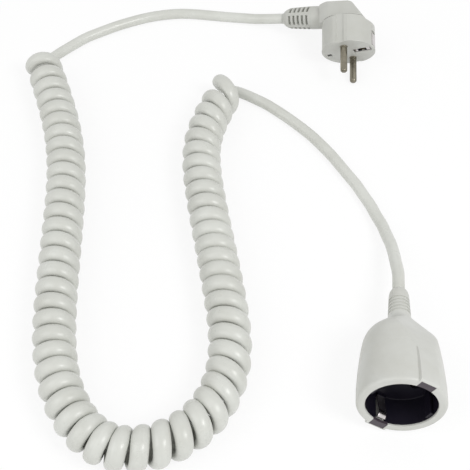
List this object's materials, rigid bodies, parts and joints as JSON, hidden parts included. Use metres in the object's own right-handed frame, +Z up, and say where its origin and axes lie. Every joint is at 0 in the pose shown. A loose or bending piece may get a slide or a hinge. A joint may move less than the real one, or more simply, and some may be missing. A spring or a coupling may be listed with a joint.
{
  "type": "curly extension cord",
  "caption": "Coiled extension cord with an angled two-pin plug at one end and a round earthed socket with sprung side clips at the other.",
  "frame": {"origin": "floor point under the middle of the socket's box", "axes": "+Y along the socket from its mouth to its cord, +Z up from the floor it lies on, +X to the right seen from the mouth"},
  "size_m": [0.2789, 0.3719, 0.0494],
  "materials": {
    "white_plastic": "satin moulded",
    "cord_jacket": "satin soft jacket",
    "black_plastic": "satin moulded",
    "brass": "stamped",
    "nickel": "nickel plated",
    "brown_wire": "insulation",
    "blue_wire": "insulation",
    "green_yellow_wire": "insulation"
  },
  "bodies": {
    "socket_and_cord": {"coupler_body": "white_plastic", "coupler_strain_relief": "white_plastic", "coupler_insert": "black_plastic", "coupler_insert_back": "black_plastic", "line_contact_sleeve": "brass", "neutral_contact_sleeve": "brass", "earth_bridge": "nickel", "coupler_cord_tail": "cord_jacket", "coupler_line_wire": "brown_wire", "coupler_neutral_wire": "blue_wire", "coupler_earth_wire": "green_yellow_wire", "coupler_lead": "cord_jacket", "curly_cord": "cord_jacket", "plug_lead": "cord_jacket", "plug_body": "white_plastic", "plug_hood": "white_plastic", "plug_bridge": "black_plastic", "line_pin": "nickel", "neutral_pin": "nickel", "plug_earth_strip": "nickel", "plug_earth_socket": "brass", "plug_strain_relief": "white_plastic", "plug_cord_tail": "cord_jacket", "plug_line_wire": "brown_wire", "plug_neutral_wire": "blue_wire", "plug_earth_wire": "green_yellow_wire"},
    "upper_clip": {"earth_clip_upper": "nickel"},
    "lower_clip": {"earth_clip_lower": "nickel"}
  },
  "joints": [
    {"name": "upper_clip_bend", "type": "hinge", "parent": "socket_and_cord", "child": "upper_clip", "pos_m": [0.00901, -0.01956, 0.03931], "axis": [-0.8704, 0.0515, 0.4897], "range_deg": [0, 5], "stiffness_Nm_per_rad": 0.15},
    {"name": "lower_clip_bend", "type": "hinge", "parent": "socket_and_cord", "child": "lower_clip", "pos_m": [-0.00901, -0.02289, 0.00763], "axis": [0.8704, -0.0515, -0.4897], "range_deg": [0, 5], "stiffness_Nm_per_rad": 0.15}
  ]
}
